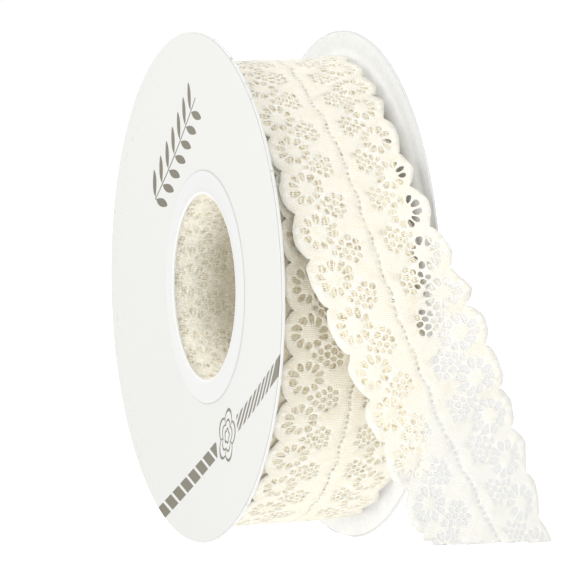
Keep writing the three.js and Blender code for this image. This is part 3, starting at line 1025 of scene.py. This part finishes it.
def smooth_through(knots, values, at):
    """A curve through the values at the knots: cubic pieces that share each knot's mean slope."""
    slope = np.gradient(values, knots, axis=0)
    piece = np.clip(np.searchsorted(knots, at, side="right") - 1, 0, len(knots) - 2)
    width = (knots[piece + 1] - knots[piece])[:, None]
    t = (at - knots[piece])[:, None] / width
    start = (1 + 2 * t) * (1 - t) ** 2 * values[piece] + t * (1 - t) ** 2 * width * slope[piece]
    return start + t ** 2 * (3 - 2 * t) * values[piece + 1] + t ** 2 * (t - 1) * width * slope[piece + 1]


rows = ribbon_rows()
row_turn = rows[:, 0]
row_middle = around_axle(rows[:, 1], rows[:, 2], np.radians(row_turn))
row_place = running_length(row_middle)
fine_place = np.linspace(0, row_place[-1], MIDDLE_POINTS)
fine_middle = smooth_through(row_place, row_middle, fine_place)
fine_length = running_length(fine_middle) / MM
hanging = fine_length > fine_length[-1] - CUT_SEARCH
cut_height = AXLE[2] - CUT_BELOW_AXLE * MM
cut_along = np.interp(-cut_height, -fine_middle[hanging, 2], fine_length[hanging])
lift_along = np.interp(row_place[TURN_ROWS], fine_place, fine_length)


def ribbon_station(along):
    """At a length along the ribbon: the middle line's point, the ways across the line and out of it, and the
    widths and lifts of both edges. The way across is the axle's direction made square to the way down."""
    place = np.interp(along, fine_length, fine_place)
    step = row_place[-1] * SLOPE_STEP
    middle, before, after = (smooth_through(row_place, row_middle, place + move) for move in (0, -step, step))
    down = (after - before) / np.linalg.norm(after - before, axis=1, keepdims=True)
    across = np.array([1, 0, 0]) - down[:, :1] * down
    across = across / np.linalg.norm(across, axis=1, keepdims=True)
    return middle, across, np.cross(down, across), smooth_through(row_place, rows[:, 3:], place)


def ribbon_surface(along, across):
    """The ribbon's point for flat places along and across: the middle line's point, plus the way across times
    the width there, drawn in where the edge lifts, plus the way out times the lift, which grows with the
    square."""
    middle, way_across, way_out, sizes = ribbon_station(along)
    right = across > 0
    tip = np.where(right, sizes[:, 0], sizes[:, 1])
    lift = np.where(right, sizes[:, 2], sizes[:, 3])
    share = across / HALF_WIDTH
    drawn_in = 1 - (2 / 3) * (lift * share / tip) ** 2
    sideways, outward = share * tip * drawn_in, lift * share ** 2
    return middle + MM * (sideways[:, None] * way_across + outward[:, None] * way_out)


def level_cut(across):
    """For places across the ribbon: the length along it where its surface comes down to the cut, a plane a
    little off level, read off a small grid of surface points, less the square of the distance past the place
    where the left corner is rounded."""
    rows_along, rows_across = CUT_GRID
    grid_along = np.linspace(cut_along - CUT_GRID_BACK, fine_length[-1], rows_along)
    grid_across = np.linspace(-CUT_GRID_HALF, CUT_GRID_HALF, rows_across)
    points = ribbon_surface(np.repeat(grid_along, rows_across), np.tile(grid_across, rows_along))
    drop = (ribbon_station(np.array([cut_along]))[0] - points).reshape(*CUT_GRID, 3) @ CUT_TIP
    reached = [np.interp(0, column, grid_along) for column in drop.T]
    corner = np.maximum(0, -across - ROUNDED_FROM)
    return np.interp(across, grid_across, reached) - ROUNDING_RATE * corner ** 2


def inside_cut(faces):
    """Those of the faces that the cut leaves: with a corner on the ribbon, none cut off far at the rounded
    corner, and more than a sliver when their corners are moved to the cut."""
    faces = faces[on_ribbon[faces].any(axis=1)]
    faces = faces[cut_off[faces].max(axis=1) < CUT_SPARE]
    return faces[flat_area(cut_flat, faces) > SLIVER]


ribbon_repeats = int(cut_along / PITCH) + SPARE_REPEATS
ribbon_strip = lace_strip(ribbon_repeats, open_share=0.0, seed=33)
ribbon_along = ribbon_strip.along + cut_along - ribbon_repeats * PITCH + FLOWER_PLACE
ribbon_across = ribbon_strip.across
cut_line = level_cut(ribbon_across)
on_ribbon = (ribbon_along <= cut_line) & (ribbon_along >= 0)
cut_off = (ribbon_along - cut_line) * (ribbon_across < -ROUNDED_FROM)
ribbon_strip.along = np.clip(ribbon_along, 0, cut_line)
cut_flat = np.stack([ribbon_strip.along, ribbon_across], axis=-1)
ribbon_strip.triangles = inside_cut(ribbon_strip.triangles)
ribbon_filling = inside_cut(ribbon_strip.filling)
loose_along, loose_across = uneven(ribbon_along, ribbon_across, seed=13)
ribbon_points = ribbon_surface(np.clip(loose_along, 0, cut_line), loose_across)
from_middle = (ribbon_points[:, 0] - AXLE[0]) / MM
above_axle = (ribbon_points[:, 2] - AXLE[2]) / MM
over_gap = (from_middle > GAP_SEEN[0]) & (from_middle < GAP_SEEN[1]) & (ribbon_along > lift_along)
over_gap &= (above_axle > GAP_ABOVE_AXLE[0]) & (above_axle < GAP_ABOVE_AXLE[1])
ribbon_strip.filling = ribbon_filling[~over_gap[ribbon_filling].all(axis=1)]
ribbon_turn = np.interp(ribbon_along, fine_length, np.interp(fine_place, row_place, row_turn))
# Painted shadow of the loose end, given to the ribbon's points as their painted shade.
tail_shadow = TAIL_SHADOW * np.exp(-(((ribbon_turn - TAIL_SHADOW_TURN) / TAIL_SHADOW_WIDTH) ** 2))
lace_sheet("outer_turn_and_loose_end", ribbon_strip, ribbon_points, tail_shadow, "lace_tail")


# Studio: a pale floor that fades into a white background, and soft light from above, from the left and from
# below, with less from the front. The camera looks from the left, a little above the axle.
FLOOR_SIZE = 40.0
FLOOR_GREY = (0.3, 0.3, 0.3)
FLOOR_GLOW = 0.97
WHITE = (1, 1, 1, 1)
SKY_MORE = 0.25
LEFT_SPAN = (0.3, 1.0)
LEFT_MORE = 0.1
FRONT_SPAN = (0.1, 0.95)
FRONT_LESS = 0.63
LIGHT_AIM = (0, 0, 0.07)
CAMERA_TURN = np.radians(-20.6)
CAMERA_RISE = np.radians(3.6)
CAMERA_DISTANCE = 1.4
CAMERA_LENS = 318.5
CAMERA_SENSOR = 36
AIM_RIGHT = 0.00549
AIM_DOWN = 0.00069

floor_corners = np.array([(-1, -1, 0), (1, -1, 0), (1, 1, 0), (-1, 1, 0)]) * FLOOR_SIZE / 2
floor_mesh = bpy.data.meshes.new("studio_floor")
floor_mesh.from_pydata(floor_corners.tolist(), [], [(0, 1, 2, 3)])
floor = bpy.data.objects.new("studio_floor", floor_mesh)
bpy.context.scene.collection.objects.link(floor)
pale_floor, floor_shader = new_finish("pale_floor", FLOOR_GREY, roughness=0.9)[:2]
floor_shader.inputs["Specular IOR Level"].default_value = 0
floor_shader.inputs["Emission Color"].default_value = WHITE
floor_shader.inputs["Emission Strength"].default_value = FLOOR_GLOW
floor_mesh.materials.append(pale_floor)

world = bpy.data.worlds.new("white_studio")
bpy.context.scene.world = world
world.use_nodes = True
background = world.node_tree.nodes["Background"]
background.inputs["Color"].default_value = WHITE
studio = Value(world.node_tree, None)
to_camera = studio.node("ShaderNodeLightPath", {}, {}, output="Is Camera Ray")
toward_x, toward_y, toward_z = split(studio.node("ShaderNodeTexCoord", {}, {}, output="Generated"))
from_left = (toward_x * -1).span(*LEFT_SPAN) * LEFT_MORE
in_front = (toward_y * -1).span(*FRONT_SPAN) * FRONT_LESS
strength = 1.0 + toward_z.span(0.0, 1.0) * SKY_MORE + from_left - in_front
strength = strength + to_camera * (1.0 - strength)
strength.feed(background, "Strength")


def soft_light(name, position, size, watts):
    """A square area light that points from its position to the spool's middle."""
    light = bpy.data.lights.new(name, "AREA")
    light.size = size
    light.energy = watts
    lamp = bpy.data.objects.new(name, light)
    lamp.location = position
    lamp.rotation_euler = (Vector(LIGHT_AIM) - Vector(position)).to_track_quat("-Z", "Y").to_euler()
    bpy.context.scene.collection.objects.link(lamp)


soft_light("key_right", position=(0.35, -0.9, 0.8), size=0.5, watts=1.1)
soft_light("fill_left", position=(-0.9, -0.6, 0.35), size=0.6, watts=3.0)

right = np.array([np.cos(CAMERA_TURN), np.sin(CAMERA_TURN), 0])
back = np.array([
    np.sin(CAMERA_TURN) * np.cos(CAMERA_RISE),
    -np.cos(CAMERA_TURN) * np.cos(CAMERA_RISE),
    np.sin(CAMERA_RISE),
])
up = np.cross(back, right)
camera_data = bpy.data.cameras.new("camera")
camera_data.sensor_width = CAMERA_SENSOR
camera_data.lens = CAMERA_LENS
camera = bpy.data.objects.new("camera", camera_data)
camera.location = AXLE + right * AIM_RIGHT - up * AIM_DOWN + back * CAMERA_DISTANCE
camera.rotation_euler = (-Vector(back)).to_track_quat("-Z", "Y").to_euler()
bpy.context.scene.collection.objects.link(camera)
bpy.context.scene.camera = camera
bpy.context.scene.view_settings.view_transform = "Standard"
